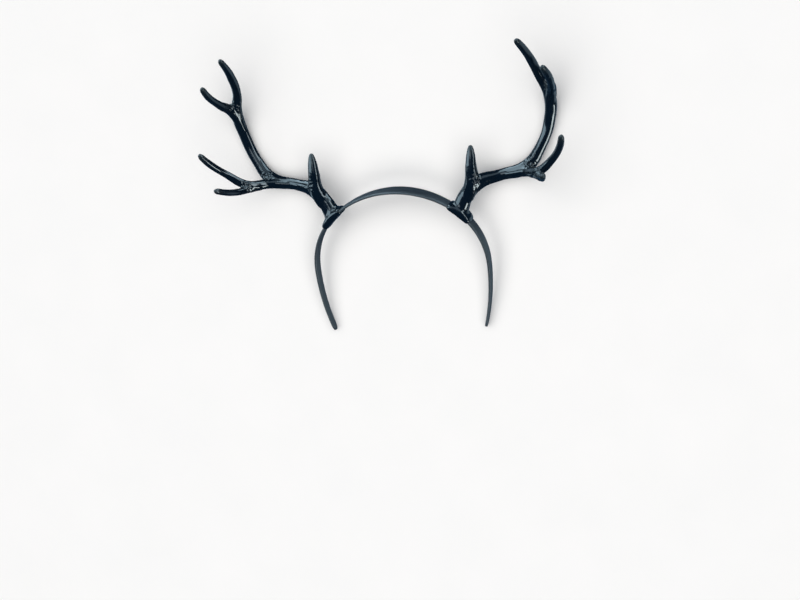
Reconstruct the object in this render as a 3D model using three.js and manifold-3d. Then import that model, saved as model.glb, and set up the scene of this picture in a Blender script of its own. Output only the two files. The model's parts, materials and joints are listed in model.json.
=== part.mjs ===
// Antler headband: a stiff arched band with a branching antler on either side, lying on its back.
// Millimetres. Every piece is drawn as worn: x to the wearer's left, y to the back, z up, with zero on the
// band's crown. The whole is then turned onto its back, as it lies on a table, with +Z up.

import * as THREE from 'three';
import { mergeVertices } from 'three/addons/utils/BufferGeometryUtils.js';
import Module from 'manifold-3d';

const wasm = await Module();
wasm.setup();

// Arcs of half the band's centre line, from the crown down to a tip, each turning on from the last.
const BAND_ARCS = [
  { part: 'crown', radius: 84, turn: 40 },
  { part: 'shoulder', radius: 60, turn: 50 },
  { part: 'leg', radius: 180, turn: 18 },
];

// Cross-sections of the band, by distance from the crown.
const BAND_SECTIONS = [
  { along: 0, width: 20, thickness: 2.6 },
  { along: 24, width: 18.2, thickness: 2.6 },
  { along: 44, width: 15.4, thickness: 2.6 },
  { along: 80, width: 13.6, thickness: 2.5 },
  { along: 135, width: 10, thickness: 2.2 },
  { along: 170, width: 8, thickness: 2 },
];
const BAND_STATIONS = 61;
const BAND_FLAT_SHARE = 0.8;

// Gap all round the band where it passes through the slot in each antler's foot.
const SLOT_GAP = 0.3;

// The wearer's left foot straddles the band: its sections, by distance from the crown. Outside and inside
// are how far it reaches beyond the band's centre line, away from the head and towards it.
const FOOT_SECTIONS = [
  { along: 48, width: 17.2, outside: 2.8, inside: 2.8 },
  { along: 53, width: 18, outside: 4.2, inside: 3 },
  { along: 60, width: 18.2, outside: 5.2, inside: 3.1 },
  { along: 67, width: 17.8, outside: 4.2, inside: 3 },
  { along: 73, width: 16.8, outside: 2.8, inside: 2.8 },
];
const FOOT_STATIONS = 15;
const FOOT_FLAT_SHARE = 0.55;

// Limbs of the wearer's left antler, each by its centre line and radius. A limb after the first starts
// inside the limb that carries it and runs along it to their fork, and a limb's last row is its tip.
const ANTLER_LIMBS = [
  {
    name: 'main beam',
    sections: [
      { at: 'foot', x: 54.5, y: 0, z: -20, radius: 7.6 },
      { at: 'flare', x: 57.2, y: 1, z: -14.8, radius: 7 },
      { at: 'neck', x: 60.5, y: 2, z: -8.5, radius: 6.4 },
      { at: 'brow fork', x: 71.5, y: 6, z: 1.8, radius: 6.2 },
      { at: 'middle', x: 89, y: 13.5, z: 5.2, radius: 4.8 },
      { at: 'main fork', x: 111, y: 15.5, z: 10.8, radius: 5.7 },
      { at: 'rise', x: 124, y: 19.5, z: 26.3, radius: 4.6 },
      { at: 'upright', x: 133, y: 22.5, z: 48, radius: 4.7 },
      { at: 'top fork', x: 135.5, y: 18.5, z: 68.5, radius: 5 },
      { at: 'upper tine', x: 130, y: 12, z: 86, radius: 3.9 },
      { at: 'upper bend', x: 127, y: -3, z: 104.5, radius: 3.5 },
      { at: 'tip', x: 124.5, y: -28, z: 122.9, radius: 2.7 },
    ],
  },
  {
    name: 'brow tine',
    sections: [
      { at: 'root', x: 61.5, y: 1.5, z: -10, radius: 5.8 },
      { at: 'brow fork', x: 67.5, y: 1.5, z: 4, radius: 6 },
      { at: 'middle', x: 68, y: 2.5, z: 17.5, radius: 4.8 },
      { at: 'taper', x: 68.5, y: 4, z: 26, radius: 3.8 },
      { at: 'tip', x: 69, y: 5.5, z: 33, radius: 2.8 },
    ],
  },
  {
    name: 'lower branch',
    sections: [
      { at: 'root', x: 95, y: 13, z: 6, radius: 3.7 },
      { at: 'main fork', x: 112, y: 9.5, z: 8.3, radius: 4.4 },
      { at: 'low fork', x: 125, y: -4.5, z: 11.5, radius: 4.1 },
      { at: 'bend', x: 140.5, y: -13, z: 24, radius: 3.2 },
      { at: 'taper', x: 149.5, y: -24.5, z: 37, radius: 3 },
      { at: 'tip', x: 153, y: -33.5, z: 46.5, radius: 2.5 },
    ],
  },
  {
    name: 'lower tine',
    sections: [
      { at: 'root', x: 113, y: 8, z: 8.5, radius: 3.6 },
      { at: 'low fork', x: 122.5, y: -2, z: 8.5, radius: 3.7 },
      { at: 'middle', x: 130, y: -17, z: 9.5, radius: 2.9 },
      { at: 'taper', x: 134.8, y: -33.5, z: 13.8, radius: 2.8 },
      { at: 'tip', x: 138.5, y: -47, z: 19, radius: 2.6 },
    ],
  },
  {
    name: 'top tine',
    sections: [
      { at: 'root', x: 133.5, y: 21, z: 53, radius: 3.6 },
      { at: 'top fork', x: 137.5, y: 15, z: 70.3, radius: 4.6 },
      { at: 'bend', x: 142, y: -1.5, z: 81.3, radius: 3.3 },
      { at: 'taper', x: 144, y: -19, z: 93, radius: 3.1 },
      { at: 'tip', x: 142.5, y: -31, z: 102, radius: 2.5 },
    ],
  },
];
const LIMB_SIDES = 12;
const LIMB_SPACING = 6;

// A rounded end: where its sections lie, in radii from the very end, and the flat left on that end.
const END_STEPS = [1.3, 0.75, 0.35, 0.1];
const END_FLAT = 0.25;

// Fineness of the curves, and of the search for the angle at which the whole comes to rest.
const CURVE_SAMPLES = 1000;
const SPAN_SAMPLES = 100;
const EDGE_FACETS = 2;
const MERGE_DISTANCE = 1e-4;
const STEEPEST_REST = 30;
const REST_STEPS = 40;

const BAND_FINISH = { color: '#2a3036', roughness: 0.6, metalness: 0 };
const ANTLER_FINISH = { color: '#0b131a', roughness: 0.22, metalness: 0 };

const bandHalfLength = BAND_ARCS.reduce(
  (sum, arc) => sum + arc.radius * THREE.MathUtils.degToRad(arc.turn),
  0,
);

// A stretch of the band's centre line, between two distances from the crown: plus on the wearer's left.
class BandLine extends THREE.Curve {
  constructor(from, to) {
    super();
    this.from = from;
    this.to = to;
  }

  getPoint(share, target = new THREE.Vector3()) {
    const along = THREE.MathUtils.lerp(this.from, this.to, share);
    let left = Math.abs(along);
    let heading = 0;
    let x = 0;
    let z = 0;
    for (const { radius, turn } of BAND_ARCS) {
      const angle = Math.min(left / radius, THREE.MathUtils.degToRad(turn));
      x += radius * (Math.sin(heading + angle) - Math.sin(heading));
      z += radius * (Math.cos(heading + angle) - Math.cos(heading));
      heading += angle;
      left -= radius * angle;
    }
    return target.set(Math.sign(along) * x, 0, z);
  }
}

// A smooth function of a table's column, against distance.
function column(distances, values) {
  const interpolant = new THREE.CubicInterpolant(distances, values, 1);
  return (distance) => interpolant.evaluate(distance)[0];
}

// A table's columns as smooth functions of its along column.
function columns(rows, ...names) {
  const distances = rows.map((row) => row.along);
  return names.map((name) => column(distances, rows.map((row) => row[name])));
}

function evenShares(steps) {
  return Array.from({ length: steps + 1 }, (_, i) => i / steps);
}

// The share of its full size that a rounded end has reached, at a distance from the very end.
function endRound(fromEnd, radius) {
  const short = Math.max(0, 1 - fromEnd / radius);
  return Math.max(Math.sqrt(1 - short * short), END_FLAT);
}

// Sweeps an outline along a curve, with a section at each share of its length. sizeAt gives the half sizes
// across the curve and through it, and a shift through it.
function sweep(outline, curve, shares, sizeAt) {
  const steps = shares.length - 1;
  const geometry = new THREE.ExtrudeGeometry(outline, {
    depth: 1,
    steps,
    bevelEnabled: false,
    curveSegments: EDGE_FACETS,
  });
  const { normals, binormals } = curve.computeFrenetFrames(CURVE_SAMPLES);
  const position = geometry.getAttribute('position');
  for (let i = 0; i < position.count; i += 1) {
    const share = shares[Math.round(position.getZ(i) * steps)];
    const frame = Math.round(share * CURVE_SAMPLES);
    const { across, through, shift = 0 } = sizeAt(share);
    const point = curve.getPointAt(share);
    point.addScaledVector(normals[frame], position.getX(i) * across);
    point.addScaledVector(binormals[frame], position.getY(i) * through + shift);
    position.setXYZ(i, point.x, point.y, point.z);
  }
  return geometry;
}

// An outline of half sizes one, with flat faces of the given share and two rounded edges.
function stripOutline(flatShare) {
  const edge = 1 - flatShare;
  const outline = new THREE.Shape();
  outline.absellipse(flatShare, 0, edge, 1, -Math.PI / 2, Math.PI / 2);
  outline.absellipse(-flatShare, 0, edge, 1, Math.PI / 2, 1.5 * Math.PI);
  return outline;
}

function roundOutline(sides) {
  const points = evenShares(sides).slice(1).map((turn) => {
    const angle = turn * 2 * Math.PI;
    return new THREE.Vector2(Math.cos(angle), Math.sin(angle));
  });
  return new THREE.Shape(points);
}

// A closed geometry as a solid that can be joined and cut.
function solidOf(geometry) {
  const bare = geometry.clone();
  bare.deleteAttribute('normal');
  bare.deleteAttribute('uv');
  const merged = mergeVertices(bare, MERGE_DISTANCE);
  return new wasm.Manifold(new wasm.Mesh({
    numProp: 3,
    vertProperties: merged.getAttribute('position').array,
    triVerts: Uint32Array.from(merged.getIndex().array),
  }));
}

function geometryOf(solid) {
  const mesh = solid.getMesh();
  const geometry = new THREE.BufferGeometry();
  geometry.setAttribute('position', new THREE.BufferAttribute(mesh.vertProperties, 3));
  geometry.setIndex(new THREE.BufferAttribute(mesh.triVerts, 1));
  return geometry;
}

// The band from tip to tip, grown all round by a gap.
function bandGeometry(gap) {
  const [widthAt, thicknessAt] = columns(BAND_SECTIONS, 'width', 'thickness');
  const length = 2 * bandHalfLength;
  const endRadius = BAND_SECTIONS.at(-1).width / 2;
  const endShares = END_STEPS.map((step) => (step * endRadius) / length);
  const clear = endShares[0] + 0.5 / BAND_STATIONS;
  const shares = [
    0,
    ...endShares.toReversed(),
    ...evenShares(BAND_STATIONS).filter((share) => share > clear && share < 1 - clear),
    ...endShares.map((share) => 1 - share),
    1,
  ];
  const line = new BandLine(-bandHalfLength, bandHalfLength);
  return sweep(stripOutline(BAND_FLAT_SHARE), line, shares, (share) => {
    const along = Math.abs(share - 0.5) * length;
    return {
      across: (widthAt(along) / 2) * endRound(bandHalfLength - along, endRadius) + gap,
      through: thicknessAt(along) / 2 + gap,
    };
  });
}

function footGeometry() {
  const [widthAt, outsideAt, insideAt] = columns(FOOT_SECTIONS, 'width', 'outside', 'inside');
  const from = FOOT_SECTIONS[0].along;
  const to = FOOT_SECTIONS.at(-1).along;
  const line = new BandLine(from, to);
  return sweep(stripOutline(FOOT_FLAT_SHARE), line, evenShares(FOOT_STATIONS), (share) => {
    const along = THREE.MathUtils.lerp(from, to, share);
    return {
      across: widthAt(along) / 2,
      through: (outsideAt(along) + insideAt(along)) / 2,
      shift: (insideAt(along) - outsideAt(along)) / 2,
    };
  });
}

// One limb: a round section swept along a smooth line through its rows, tapering to a rounded tip.
function limbGeometry({ sections }) {
  const line = new THREE.CatmullRomCurve3(sections.map(({ x, y, z }) => new THREE.Vector3(x, y, z)));
  const lengths = line.getLengths(SPAN_SAMPLES * (sections.length - 1));
  const length = lengths.at(-1);
  const radiusAt = column(
    sections.map((_, i) => lengths[i * SPAN_SAMPLES]),
    sections.map(({ radius }) => radius),
  );
  const endRadius = sections.at(-1).radius;
  const endShares = END_STEPS.map((step) => 1 - (step * endRadius) / length);
  const steps = Math.round((length * endShares[0]) / LIMB_SPACING);
  const shares = [
    ...evenShares(steps).map((share) => share * endShares[0]),
    ...endShares.slice(1),
    1,
  ];
  return sweep(roundOutline(LIMB_SIDES), line, shares, (share) => {
    const radius = radiusAt(share * length) * endRound((1 - share) * length, endRadius);
    return { across: radius, through: radius };
  });
}

// The wearer's left antler: its limbs and foot in one, with the slot for the band cut through the foot.
function antlerGeometry() {
  let antler = solidOf(footGeometry());
  for (const limb of ANTLER_LIMBS) {
    antler = antler.add(solidOf(limbGeometry(limb)));
  }
  return geometryOf(antler.subtract(solidOf(bandGeometry(SLOT_GAP))));
}

// A geometry's mirror image across the wearer's middle.
function mirrored(geometry) {
  const image = geometry.clone().scale(-1, 1, 1);
  const index = image.getIndex();
  for (let i = 0; i < index.count; i += 3) {
    const first = index.getX(i);
    index.setX(i, index.getX(i + 1));
    index.setX(i + 1, first);
  }
  return image;
}

function piece(name, geometry, finish) {
  const mesh = new THREE.Mesh(geometry, new THREE.MeshStandardMaterial(finish));
  mesh.name = name;
  return mesh;
}

// A piece's lowest point when the worn headband is laid on its back and its antlers raised by an angle.
function lowestPoint(mesh, angle) {
  const turned = mesh.geometry.clone().rotateX(angle - Math.PI / 2);
  turned.computeBoundingBox();
  return turned.boundingBox.min.z;
}

// The angle at which the band's tips and the antlers' backs touch the table together.
function restingAngle(band, antler) {
  let low = 0;
  let high = THREE.MathUtils.degToRad(STEEPEST_REST);
  for (let i = 0; i < REST_STEPS; i += 1) {
    const middle = (low + high) / 2;
    if (lowestPoint(antler, middle) < lowestPoint(band, middle)) {
      low = middle;
    } else {
      high = middle;
    }
  }
  return low;
}

const headband = piece('headband', geometryOf(solidOf(bandGeometry(0))), BAND_FINISH);
const antlerLeft = piece('antler_left', antlerGeometry(), ANTLER_FINISH);
const antlerRight = piece('antler_right', mirrored(antlerLeft.geometry), ANTLER_FINISH);

const antlerHeadband = new THREE.Group();
antlerHeadband.add(headband, antlerLeft, antlerRight);
antlerHeadband.rotation.x = restingAngle(headband, antlerLeft) - Math.PI / 2;
const box = new THREE.Box3().setFromObject(antlerHeadband, true);
const middle = box.getCenter(new THREE.Vector3());
antlerHeadband.position.set(-middle.x, -middle.y, -box.min.z);

export default antlerHeadband;
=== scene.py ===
# Antler headband, laid on its back on a pale floor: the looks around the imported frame.
import json
import math
from collections import namedtuple

import bmesh
import bpy
from mathutils import Matrix, Vector, kdtree, noise


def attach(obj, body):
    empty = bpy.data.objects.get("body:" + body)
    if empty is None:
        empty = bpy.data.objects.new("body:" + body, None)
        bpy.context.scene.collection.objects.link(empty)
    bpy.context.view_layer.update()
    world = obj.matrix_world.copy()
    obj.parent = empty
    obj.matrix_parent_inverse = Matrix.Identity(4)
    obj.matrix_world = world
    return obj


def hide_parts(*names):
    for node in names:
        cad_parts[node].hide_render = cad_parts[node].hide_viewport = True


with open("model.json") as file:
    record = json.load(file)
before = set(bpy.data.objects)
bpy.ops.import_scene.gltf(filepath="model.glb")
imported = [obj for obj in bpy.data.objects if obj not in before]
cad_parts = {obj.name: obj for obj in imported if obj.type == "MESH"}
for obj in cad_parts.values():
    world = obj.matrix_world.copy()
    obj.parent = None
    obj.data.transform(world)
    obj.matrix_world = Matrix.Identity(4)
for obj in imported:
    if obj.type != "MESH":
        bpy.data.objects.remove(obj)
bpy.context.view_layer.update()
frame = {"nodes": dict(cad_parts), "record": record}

MM = 0.001
scene = bpy.context.scene

# The frame of the headband as it is worn: x to the left, y to the back, z up, zero on the crown's centre
# line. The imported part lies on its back, and the seat on the crown's inner side shows how it is turned. The
# seat lies this far from the centre line.
CROWN_SEAT_DEPTH = 1.3443 * MM

# Arcs of half the band's centre line, from the crown down to a tip: radius in millimetres, turn in degrees.
Arc = namedtuple("Arc", "radius turn")
BAND_ARCS = [Arc(84, 40), Arc(60, 50), Arc(180, 18)]

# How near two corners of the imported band's triangles are merged, and how finely the band is then smoothed.
BAND_SEAM = 0.01 * MM
BAND_SMOOTHING = 2

# Gap all round the band where it passes through the slot in each antler's foot, and the size of the slivers
# along the slot's rim that are merged away.
SLOT_GAP = 0.3 * MM
SLIVER = 0.08 * MM

# Sections of the left antler's foot, in millimetres: distance from the crown, width across the band, and
# reach outwards and inwards from the band's centre line.
FootSection = namedtuple("FootSection", "along width outside inside")
FOOT = [
    FootSection(48, 17.2, 2.8, 2.8),
    FootSection(53, 18, 4.2, 3),
    FootSection(60, 18.2, 5.2, 3.1),
    FootSection(67, 17.8, 4.2, 3),
    FootSection(73, 16.8, 2.8, 2.8),
]

# The share of a section's width that is flat, its corners, how finely the foot is smoothed, and how near a
# corner lies to the section's middle line, in millimetres, to stay on it.
FOOT_FLAT_SHARE = 0.55
FOOT_SIDES = 16
FOOT_SMOOTHING = 2
FOOT_MIDDLE = 0.01

# Limbs of the left antler, in millimetres: centre line and radius, from root to tip. A limb after the first
# starts inside the limb that carries it and runs along it to their fork.
Section = namedtuple("Section", "x y z radius")
LIMBS = {
    "main beam": [
        Section(54.5, 0, -20, 7.6),
        Section(57.2, 1, -14.8, 7),
        Section(60.5, 2, -8.5, 6.4),
        Section(71.5, 6, 1.8, 6.2),
        Section(89, 13.5, 5.2, 4.8),
        Section(111, 15.5, 10.8, 5.7),
        Section(124, 19.5, 26.3, 4.6),
        Section(133, 22.5, 48, 4.7),
        Section(135.5, 18.5, 68.5, 5),
        Section(130, 12, 86, 3.9),
        Section(127, -3, 104.5, 3.6),
        Section(123.5, -29.2, 124, 2.4),
    ],
    "brow tine": [
        Section(61.5, 1.5, -10, 5.8),
        Section(67.5, 1.5, 4, 6),
        Section(68, 2.5, 17.5, 4.8),
        Section(68.5, 4, 26, 3.8),
        Section(69, 5.2, 34, 2.8),
    ],
    "lower branch": [
        Section(95, 13, 6, 3.7),
        Section(112, 9.5, 8.3, 4.4),
        Section(125, -4.5, 11.5, 4.1),
        Section(140.5, -13, 24, 3.2),
        Section(149.5, -24.5, 37, 3),
        Section(153.3, -33.2, 47.2, 2.5),
    ],
    "lower tine": [
        Section(113, 8, 8.5, 3.6),
        Section(122.5, -2, 8.5, 3.7),
        Section(130, -17, 9.5, 2.9),
        Section(134.8, -33.5, 13.8, 2.8),
        Section(138.5, -47, 19, 2.6),
    ],
    "top tine": [
        Section(133.5, 21, 53, 3.6),
        Section(137.5, 15, 70.3, 4.6),
        Section(142, -1.5, 81.3, 3.3),
        Section(144, -19, 93, 3.1),
        Section(142.5, -31, 102, 2.5),
    ],
}

# How finely a limb is cut, round its section and along its line.
LIMB_ROUNDNESS = 8
LIMB_STEPS = 16

# A tip narrows from its shoulder to a ball at its end: the shoulder's distance from the end and the ball's
# radius, in shares of the limb's last radius, and how finely the ball is cut.
TIP_SHOULDER = 1.2
TIP_BALL = 0.78
TIP_FINENESS = 4

# Fineness of an antler's skin, how often all of it is relaxed, and the share of the way to the middle of
# its neighbours that a point then moves.
SKIN_VOXEL = 0.5 * MM
SKIN_RELAXING = 8
RELAX_SHARE = 0.5

# Places where limbs part, in millimetres: the crotch, how far round it the skin is drawn smooth, and how
# far its wrinkles reach. The skin is relaxed this often over each of these shares of the smooth reach.
Fork = namedtuple("Fork", "x y z smooth wrinkled")
FORKS = [
    Fork(58, 1, -15, 12, 0),
    Fork(72, -2, 7, 12, 8),
    Fork(115, 11, 13.5, 12, 8),
    Fork(125.5, -9, 13, 9, 8),
    Fork(135, 11.5, 78, 11, 9),
]
FORK_SHARES = (1, 0.75, 0.5)
FORK_RELAXING = 14

# Wrinkles in the crotches: the size of one pearl, how much it drops over that distance from its middle, and
# the share of that distance at which it sinks below the skin.
PEARL_SIZE = 2.2 * MM
PEARL_DROP = 1.8 * MM
PEARL_RIM = 0.5

# How far from a tip its gloss is rubbed dull, and how much rougher its end is.
TIP_REACH = 12 * MM
TIP_DULLING = 0.3

# Shallow grooves down every limb, seen in its reflections: how closely they lie round it, how long and how
# deep they are, and the spacing of the spots on the limbs' centre lines that they follow.
GROOVE_CROWDING = 1.3
GROOVE_LENGTH = 28 * MM
GROOVE_DEPTH = 0.4 * MM
SPOT_SPACING = 1 * MM

# Sizes of the patterns in the finishes. Flow lines and grain are drawn coarser than real ones, to show; the
# band's lighter streaks are partly flow lines and partly painted sheen.
DYE_DRIFT = 9 * MM
SMUDGE = 6 * MM
ORANGE_PEEL = 1.6 * MM
FLOW_AND_SHEEN_STREAK_LENGTH = 40 * MM
FLOW_AND_SHEEN_STREAK_WIDTH = 2 * MM
SATIN_GRAIN = 0.7 * MM
PAPER_MOTTLE = 60 * MM

# Sockets of a Mix node that mixes colours, by number, because its other sockets have the same names.
MIX_FACTOR = 0
MIX_FIRST = 6
MIX_SECOND = 7
MIX_RESULT = 2

# The camera in the worn headband's frame: turn, lift, roll, and distance from the place that it looks at.
VIEW_TURN = math.radians(18.2)
VIEW_LIFT = math.radians(17.9)
VIEW_ROLL = math.radians(7.3)
VIEW_DISTANCE = 1500 * MM
VIEW_AIM = Vector((0.75, -20.7, -89)) * MM
LENS_MM = 81
SENSOR_MM = 36

# Softboxes, seen only in reflections: turn and lift from the camera's axis in degrees, width and height in
# metres, brightness and colour. They stand this far from the crown, in metres, in a studio of this colour.
Softbox = namedtuple("Softbox", "name turn lift width height brightness colour")
SOFTBOXES = [
    Softbox("right_high_softbox", 54, 22, 0.45, 1.2, 6.5, "#e2f6ff"),
    Softbox("right_low_softbox", 69, -30, 0.6, 0.32, 11, "#eefdff"),
    Softbox("right_back_softbox", 95, 60, 0.8, 0.6, 4.5, "#d0efff"),
    Softbox("right_rim_softbox", 128, -5, 0.9, 1.2, 0.45, "#d0efff"),
    Softbox("left_high_softbox", -88, 61, 1.8, 0.75, 4.4, "#d0efff"),
    Softbox("left_low_softbox", -72, 11, 1.6, 0.75, 4.6, "#d0efff"),
    Softbox("left_rim_softbox", -135, 10, 1.2, 1.2, 0.6, "#d0efff"),
    Softbox("front_softbox", -22, 10, 0.6, 0.4, 2.8, "#e2f6ff"),
    Softbox("top_softbox", 0, 45, 1.6, 0.9, 1.1, "#d0efff"),
]
SOFTBOX_DISTANCE = 1.3
STUDIO_COLOUR = "#263f56"

# The floor's side, and the broad light over it, which the gloss doesn't mirror: side and height in metres,
# brightness and colour.
FLOOR_SIDE = 8
FLOOR_LIGHT_SIDE = 7
FLOOR_LIGHT_HEIGHT = 3
FLOOR_LIGHT_BRIGHTNESS = 1.75
FLOOR_LIGHT_COLOUR = "#fffbf6"


def linear(hex_colour):
    """An sRGB hex value as a linear colour, by the formula of the sRGB standard."""
    shares = [int(hex_colour[i:i + 2], 16) / 255 for i in (1, 3, 5)]
    return [*(s / 12.92 if s <= 0.04045 else ((s + 0.055) / 1.055) ** 2.4 for s in shares), 1]


def add_node(material, kind, settings=(), links=()):
    """Adds a shader node, with its properties and socket values set and its sockets linked to others."""
    node = material.node_tree.nodes.new("ShaderNode" + kind)
    for name, value in dict(settings).items():
        if hasattr(node, str(name)):
            setattr(node, name, value)
        else:
            node.inputs[name].default_value = value
    for name, source in dict(links).items():
        material.node_tree.links.new(source, node.inputs[name])
    return node


def new_material(name):
    """An empty material, with its output node."""
    material = bpy.data.materials.new(name)
    material.use_nodes = True
    material.node_tree.nodes.clear()
    return material, add_node(material, "OutputMaterial")


def gloss_moulded_abs():
    """Glossy blue-black moulded ABS: nearly black, with long crisp reflections that dull at the tips."""
    material, output = new_material("gloss_moulded_abs")
    place = add_node(material, "TexCoord").outputs["Object"]
    drift = add_node(material, "TexNoise", {"Scale": 1 / DYE_DRIFT, "Detail": 3}, {"Vector": place})
    smudge = add_node(material, "TexNoise", {"Scale": 1 / SMUDGE, "Detail": 3}, {"Vector": place})
    peel = add_node(material, "TexNoise", {"Scale": 1 / ORANGE_PEEL, "Detail": 2}, {"Vector": place})
    colour = add_node(
        material,
        "Mix",
        {"data_type": "RGBA", MIX_FIRST: linear("#030a13"), MIX_SECOND: linear("#061320")},
        {MIX_FACTOR: drift.outputs["Fac"]},
    )
    tip = add_node(material, "Attribute", {"attribute_name": "tip"}).outputs["Fac"]
    rubbed_colour = add_node(
        material,
        "Mix",
        {"data_type": "RGBA", MIX_SECOND: linear("#182125")},
        {MIX_FACTOR: tip, MIX_FIRST: colour.outputs[MIX_RESULT]},
    )
    roughness = add_node(
        material,
        "MapRange",
        {"From Min": 0.35, "From Max": 0.65, "To Min": 0.1, "To Max": 0.16},
        {"Value": smudge.outputs["Fac"]},
    )
    # The nearness to a tip, times the dulling there, is added to the roughness.
    rubbed_roughness = add_node(
        material,
        "Math",
        {"operation": "MULTIPLY_ADD", 1: TIP_DULLING},
        {0: tip, 2: roughness.outputs["Result"]},
    )
    relief = add_node(
        material,
        "Bump",
        {"Strength": 0.05, "Distance": 0.1 * MM},
        {"Height": peel.outputs["Fac"]},
    )
    shader = add_node(
        material,
        "BsdfPrincipled",
        {"IOR": 1.54},
        {
            "Base Color": rubbed_colour.outputs[MIX_RESULT],
            "Roughness": rubbed_roughness.outputs["Value"],
            "Normal": relief.outputs["Normal"],
        },
    )
    material.node_tree.links.new(shader.outputs["BSDF"], output.inputs["Surface"])
    return material


def satin_moulded_plastic(turn):
    """Satin slate-black moulded plastic: a broad soft sheen, and lighter streaks along the band, partly flow
    lines and partly painted sheen.
    """
    material, output = new_material("satin_moulded_plastic")
    place = add_node(material, "TexCoord").outputs["Object"]
    along_band = add_node(
        material,
        "Mapping",
        {
            "vector_type": "TEXTURE",
            "Rotation": (turn, 0, 0),
            "Scale": (1, FLOW_AND_SHEEN_STREAK_WIDTH / FLOW_AND_SHEEN_STREAK_LENGTH, 1),
        },
        {"Vector": place},
    ).outputs["Vector"]
    flow_and_sheen = add_node(
        material,
        "TexNoise",
        {"Scale": 1 / FLOW_AND_SHEEN_STREAK_LENGTH, "Detail": 2},
        {"Vector": along_band},
    )
    grain = add_node(material, "TexNoise", {"Scale": 1 / SATIN_GRAIN, "Detail": 2}, {"Vector": place})
    # The colour is lighter along the band's streaks: partly flow lines, partly painted sheen.
    colour = add_node(
        material,
        "Mix",
        {"data_type": "RGBA", MIX_FIRST: linear("#20272d"), MIX_SECOND: linear("#3f4a52")},
        {MIX_FACTOR: flow_and_sheen.outputs["Fac"]},
    )
    roughness = add_node(
        material,
        "MapRange",
        {"From Min": 0.3, "From Max": 0.7, "To Min": 0.36, "To Max": 0.48},
        {"Value": flow_and_sheen.outputs["Fac"]},
    )
    relief = add_node(
        material,
        "Bump",
        {"Strength": 0.2, "Distance": 0.1 * MM},
        {"Height": grain.outputs["Fac"]},
    )
    shader = add_node(
        material,
        "BsdfPrincipled",
        {"IOR": 1.5},
        {
            "Base Color": colour.outputs[MIX_RESULT],
            "Roughness": roughness.outputs["Result"],
            "Normal": relief.outputs["Normal"],
        },
    )
    material.node_tree.links.new(shader.outputs["BSDF"], output.inputs["Surface"])
    return material


def pale_paper():
    """Pale matt studio paper, with a hardly visible mottle."""
    material, output = new_material("pale_paper")
    place = add_node(material, "TexCoord").outputs["Object"]
    mottle = add_node(material, "TexNoise", {"Scale": 1 / PAPER_MOTTLE, "Detail": 3}, {"Vector": place})
    colour = add_node(
        material,
        "Mix",
        {"data_type": "RGBA", MIX_FIRST: linear("#eceded"), MIX_SECOND: linear("#f1f1f1")},
        {MIX_FACTOR: mottle.outputs["Fac"]},
    )
    shader = add_node(
        material,
        "BsdfPrincipled",
        {"Roughness": 1, "Specular IOR Level": 0},
        {"Base Color": colour.outputs[MIX_RESULT]},
    )
    material.node_tree.links.new(shader.outputs["BSDF"], output.inputs["Surface"])
    return material


def worn_frame():
    """The matrix from the worn headband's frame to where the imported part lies."""
    seat = next(mount for mount in frame["record"]["mounts"] if mount["name"] == "crown_seat")
    up = -Vector(seat["axis"]).normalized()
    left = Vector((1, 0, 0))
    matrix = Matrix((left, up.cross(left), up)).transposed().to_4x4()
    matrix.translation = Vector(seat["pos_m"]) + up * CROWN_SEAT_DEPTH
    return matrix


def band_place(along):
    """The band's frame at a distance from the crown: x along the band, y across it, z outwards."""
    heading = 0
    point = Vector()
    rest = along
    for arc in BAND_ARCS:
        turn = min(rest / arc.radius, math.radians(arc.turn))
        centre = point - arc.radius * Vector((math.sin(heading), 0, math.cos(heading)))
        heading += turn
        point = centre + arc.radius * Vector((math.sin(heading), 0, math.cos(heading)))
        rest -= arc.radius * turn
    return Matrix.Translation(point * MM) @ Matrix.Rotation(heading, 4, "Y")


def mesh_from(bm, name):
    """A finished bmesh as a mesh."""
    mesh = bpy.data.meshes.new(name)
    bm.to_mesh(mesh)
    bm.free()
    return mesh


def evaluated(data, kind=None, **settings):
    """A curve, or a mesh with one modifier, as the mesh that Blender makes of it."""
    holder = bpy.data.objects.new("holder", data)
    scene.collection.objects.link(holder)
    if kind:
        modifier = holder.modifiers.new(kind, kind)
        for name, value in settings.items():
            setattr(modifier, name, value)
    depsgraph = bpy.context.evaluated_depsgraph_get()
    mesh = bpy.data.meshes.new_from_object(holder.evaluated_get(depsgraph))
    bpy.data.objects.remove(holder)
    return mesh


def limb(sections):
    """A round limb on a smooth line through its sections, as a mesh."""
    curve = bpy.data.curves.new("limb", "CURVE")
    curve.dimensions = "3D"
    curve.bevel_depth = MM
    curve.bevel_resolution = LIMB_ROUNDNESS
    curve.resolution_u = LIMB_STEPS
    curve.use_fill_caps = True
    spline = curve.splines.new("BEZIER")
    spline.radius_interpolation = "CARDINAL"
    spline.bezier_points.add(len(sections) - 1)
    for point, section in zip(spline.bezier_points, sections):
        point.co = Vector(section[:3]) * MM
        point.radius = section.radius
        point.handle_left_type = "AUTO"
        point.handle_right_type = "AUTO"
    return evaluated(curve)


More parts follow.
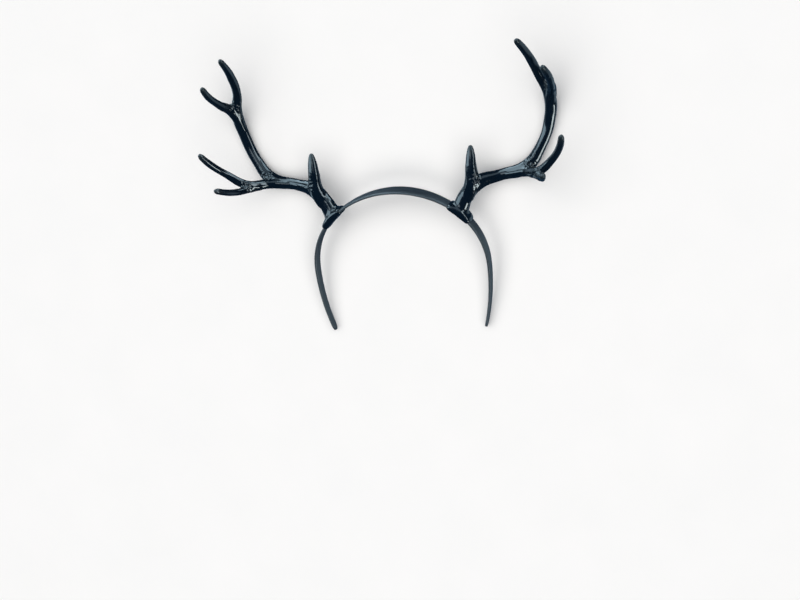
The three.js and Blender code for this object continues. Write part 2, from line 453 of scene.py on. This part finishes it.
def foot():
    """The foot that straddles the band, as a mesh."""
    bm = bmesh.new()
    across_band = Matrix.Rotation(math.pi / 2, 4, "Y")
    rings = []
    for section in FOOT:
        middle = (section.outside - section.inside) / 2
        depth = (section.outside + section.inside) / 2
        flat = section.width / 2 * FOOT_FLAT_SHARE
        ring = bmesh.ops.create_circle(
            bm,
            cap_ends=section in (FOOT[0], FOOT[-1]),
            segments=FOOT_SIDES,
            radius=1,
            matrix=Matrix.Diagonal((depth, section.width / 2 - flat, 1, 1)),
        )
        verts = ring["verts"]
        # The ring's two halves are moved apart, which leaves a flat stretch between them.
        for side in (1, -1):
            half = [vert for vert in verts if vert.co.y * side > FOOT_MIDDLE]
            bmesh.ops.translate(bm, verts=half, vec=(0, flat * side, 0))
        place = band_place(section.along) @ Matrix.Translation((0, 0, middle * MM))
        bmesh.ops.transform(bm, verts=verts, matrix=place @ across_band @ Matrix.Scale(MM, 4))
        rings.append([edge for edge in bm.edges if set(edge.verts) <= set(verts)])
    for ring, following in zip(rings, rings[1:]):
        bmesh.ops.bridge_loops(bm, edges=ring + following)
    bmesh.ops.recalc_face_normals(bm, faces=bm.faces)
    return evaluated(
        mesh_from(bm, "foot"),
        "SUBSURF",
        levels=FOOT_SMOOTHING,
        render_levels=FOOT_SMOOTHING,
    )


def centre_lines():
    """Spots on the limbs' centre lines, each with the line's heading and its length from the root."""
    spots = []
    for name, sections in LIMBS.items():
        along = 0
        # The other limbs start inside the limb that carries them, so their first section is left out.
        rows = sections if name == "main beam" else sections[1:]
        for row, following in zip(rows, rows[1:]):
            start = Vector(row[:3]) * MM
            step = Vector(following[:3]) * MM - start
            count = round(step.length / SPOT_SPACING)
            for i in range(count):
                place = start + step * i / count
                spots.append((place, step.normalized(), along + step.length * i / count))
            along += step.length
    return spots


def groove(bm):
    """Draws long shallow grooves and ridges down every limb, from a noise that is drawn out along it."""
    spots = centre_lines()
    tree = kdtree.KDTree(len(spots))
    for i, (place, _, _) in enumerate(spots):
        tree.insert(place, i)
    tree.balance()
    bm.normal_update()
    for vert in bm.verts:
        place, heading, along = spots[tree.find(vert.co)[1]]
        side = heading.cross((0, 1, 0)).normalized()
        out = (vert.co - place).normalized()
        round_limb = Vector((out.dot(side), out.dot(side.cross(heading)), 0)) * GROOVE_CROWDING
        down_limb = Vector((0, 0, (along + (vert.co - place).dot(heading)) / GROOVE_LENGTH))
        vert.co += vert.normal * GROOVE_DEPTH * noise.noise(round_limb + down_limb)


def relax(bm, verts, times):
    """Smooths part of a skin, a step at a time."""
    for _ in range(times):
        bmesh.ops.smooth_vert(
            bm, verts=verts, factor=RELAX_SHARE, use_axis_x=True, use_axis_y=True, use_axis_z=True
        )


def draw_round(bm):
    """Relaxes the whole skin, and most of all the forks, so that limb flows into limb."""
    relax(bm, bm.verts[:], SKIN_RELAXING)
    for share in FORK_SHARES:
        near = set()
        for fork in FORKS:
            crotch = Vector(fork[:3]) * MM
            reach = fork.smooth * share * MM
            near.update(vert for vert in bm.verts if (vert.co - crotch).length < reach)
        # The points are taken in the skin's own order, so that every run gives the same shape.
        relax(bm, [vert for vert in bm.verts if vert in near], FORK_RELAXING)


def roughen(bm):
    """Raises pearled wrinkles in the forks."""
    bm.normal_update()
    for vert in bm.verts:
        rise = 0
        for fork in FORKS:
            away = (vert.co - Vector(fork[:3]) * MM).length / MM
            if away < fork.wrinkled:
                fade = math.cos(away / fork.wrinkled * math.pi / 2) ** 2
                pearl = PEARL_RIM - noise.voronoi(vert.co / PEARL_SIZE)[0][0]
                rise += PEARL_DROP * fade * pearl
        vert.co += vert.normal * rise


def antler_skin():
    """The left antler's limbs and foot under one smooth skin."""
    bm = bmesh.new()
    bm.from_mesh(foot())
    for sections in LIMBS.values():
        last = sections[-1]
        end = Vector(last[:3])
        back = (Vector(sections[-2][:3]) - end).normalized() * last.radius
        shoulder = end + back * TIP_SHOULDER
        ball = end + back * TIP_BALL
        ball_radius = last.radius * TIP_BALL
        ends = [Section(*shoulder, last.radius), Section(*ball, ball_radius)]
        bm.from_mesh(limb([*sections[:-1], *ends]))
        bmesh.ops.create_icosphere(
            bm,
            subdivisions=TIP_FINENESS,
            radius=ball_radius * MM,
            matrix=Matrix.Translation(ball * MM),
        )
    mesh = evaluated(mesh_from(bm, "antler"), "REMESH", mode="VOXEL", voxel_size=SKIN_VOXEL)
    bm = bmesh.new()
    bm.from_mesh(mesh)
    groove(bm)
    draw_round(bm)
    roughen(bm)
    return mesh_from(bm, "antler")


def band():
    """The band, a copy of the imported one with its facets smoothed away."""
    bm = bmesh.new()
    bm.from_mesh(frame["nodes"]["headband"].data)
    bmesh.ops.remove_doubles(bm, verts=bm.verts, dist=BAND_SEAM)
    bmesh.ops.join_triangles(
        bm, faces=bm.faces, angle_face_threshold=math.pi, angle_shape_threshold=math.pi
    )
    return evaluated(
        mesh_from(bm, "band"),
        "SUBSURF",
        levels=BAND_SMOOTHING,
        render_levels=BAND_SMOOTHING,
    )


def slot_cutter(band_mesh):
    """The band grown by the slot's gap, as an object to cut with."""
    bm = bmesh.new()
    bm.from_mesh(band_mesh)
    bm.normal_update()
    for vert in bm.verts:
        vert.co += vert.normal * SLOT_GAP
    cutter = bpy.data.objects.new("slot_cutter", mesh_from(bm, "slot_cutter"))
    scene.collection.objects.link(cutter)
    return cutter


def cleaned(mesh):
    """A cut mesh without the slivers along its cut."""
    bm = bmesh.new()
    bm.from_mesh(mesh)
    bmesh.ops.triangulate(bm, faces=bm.faces)
    bmesh.ops.remove_doubles(bm, verts=bm.verts, dist=SLIVER)
    bmesh.ops.dissolve_degenerate(bm, edges=bm.edges, dist=SLIVER)
    bmesh.ops.triangulate(bm, faces=bm.faces)
    return mesh_from(bm, mesh.name)


def mark_tips(mesh, worn):
    """Notes on an antler's mesh how near each point lies to a tip, from one at its end down to zero."""
    tips = [Vector(sections[-1][:3]) * MM for sections in LIMBS.values()]
    to_worn = worn.inverted()
    nearness = mesh.attributes.new("tip", "FLOAT", "POINT")
    for vert, item in zip(mesh.vertices, nearness.data):
        place = to_worn @ vert.co
        # The right antler is measured as the left one's mirror image.
        place.x = abs(place.x)
        away = min((place - tip).length for tip in tips)
        item.value = max(0, 1 - away / TIP_REACH)


def add_piece(name, mesh, material, node):
    """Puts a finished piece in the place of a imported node."""
    mesh.materials.clear()
    mesh.materials.append(material)
    mesh.shade_smooth()
    piece = bpy.data.objects.new(name, mesh)
    scene.collection.objects.link(piece)
    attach(piece, "root")
    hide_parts(node)


def add_headband(worn):
    """The band and its two antlers."""
    band_mesh = band()
    satin = satin_moulded_plastic(worn.to_euler().x)
    add_piece("satin_band", band_mesh, satin, "headband")
    cutter = slot_cutter(band_mesh)
    gloss = gloss_moulded_abs()
    left = antler_skin()
    right = left.copy()
    right.transform(Matrix.Scale(-1, 4, (1, 0, 0)))
    right.flip_normals()
    for side, mesh in (("left", left), ("right", right)):
        mesh.transform(worn)
        cut = cleaned(
            evaluated(mesh, "BOOLEAN", operation="DIFFERENCE", solver="MANIFOLD", object=cutter)
        )
        mark_tips(cut, worn)
        add_piece(f"{side}_gloss_antler", cut, gloss, f"antler_{side}")
    bpy.data.objects.remove(cutter)


def add_floor():
    """A plain pale floor at the height that the part lies on, which the gloss doesn't mirror."""
    bm = bmesh.new()
    bmesh.ops.create_grid(bm, x_segments=1, y_segments=1, size=FLOOR_SIDE / 2)
    mesh = mesh_from(bm, "floor")
    mesh.materials.append(pale_paper())
    floor = bpy.data.objects.new("floor", mesh)
    floor.visible_glossy = False
    scene.collection.objects.link(floor)


def add_camera(worn):
    """The camera, at the photograph's angle to the headband."""
    back = Vector(
        (
            math.sin(VIEW_TURN) * math.cos(VIEW_LIFT),
            -math.cos(VIEW_TURN) * math.cos(VIEW_LIFT),
            math.sin(VIEW_LIFT),
        )
    )
    level = Vector((math.cos(VIEW_TURN), math.sin(VIEW_TURN), 0))
    axes = Matrix((level, back.cross(level), back)).transposed().to_4x4()
    axes.translation = VIEW_AIM + back * VIEW_DISTANCE
    data = bpy.data.cameras.new("camera")
    data.lens = LENS_MM
    data.sensor_width = SENSOR_MM
    camera = bpy.data.objects.new("camera", data)
    camera.matrix_world = worn @ axes @ Matrix.Rotation(-VIEW_ROLL, 4, "Z")
    scene.collection.objects.link(camera)
    scene.camera = camera
    return camera


def add_softbox(name, place, width, height, brightness, colour):
    """A rectangular light that shines along its own -Z. Its power keeps its brightness at any size."""
    data = bpy.data.lights.new(name, "AREA")
    data.shape = "RECTANGLE"
    data.size = width
    data.size_y = height
    data.energy = brightness * math.pi * width * height
    data.color = linear(colour)[:3]
    light = bpy.data.objects.new(name, data)
    light.matrix_world = place
    light.visible_camera = False
    scene.collection.objects.link(light)
    return light


def add_lights(camera, crown):
    """Softboxes round the headband, each facing its crown, and a broad light over the floor."""
    for box in SOFTBOXES:
        turn = Matrix.Rotation(math.radians(box.turn), 4, "Y")
        lift = Matrix.Rotation(-math.radians(box.lift), 4, "X")
        axes = camera.matrix_world.to_3x3().to_4x4() @ turn @ lift
        place = Matrix.Translation(crown) @ axes @ Matrix.Translation((0, 0, SOFTBOX_DISTANCE))
        light = add_softbox(box.name, place, box.width, box.height, box.brightness, box.colour)
        light.visible_diffuse = False
    light = add_softbox(
        "floor_light",
        Matrix.Translation((0, 0, FLOOR_LIGHT_HEIGHT)),
        FLOOR_LIGHT_SIDE,
        FLOOR_LIGHT_SIDE,
        FLOOR_LIGHT_BRIGHTNESS,
        FLOOR_LIGHT_COLOUR,
    )
    light.visible_glossy = False


def add_studio():
    """The studio's dim blue-grey, for reflections and shadows, and plain tones in the picture."""
    world = bpy.data.worlds.new("studio")
    world.use_nodes = True
    world.node_tree.nodes["Background"].inputs["Color"].default_value = linear(STUDIO_COLOUR)
    scene.world = world
    scene.view_settings.view_transform = "Standard"


worn = worn_frame()
camera = add_camera(worn)
add_headband(worn)
add_floor()
add_lights(camera, worn.translation)
add_studio()
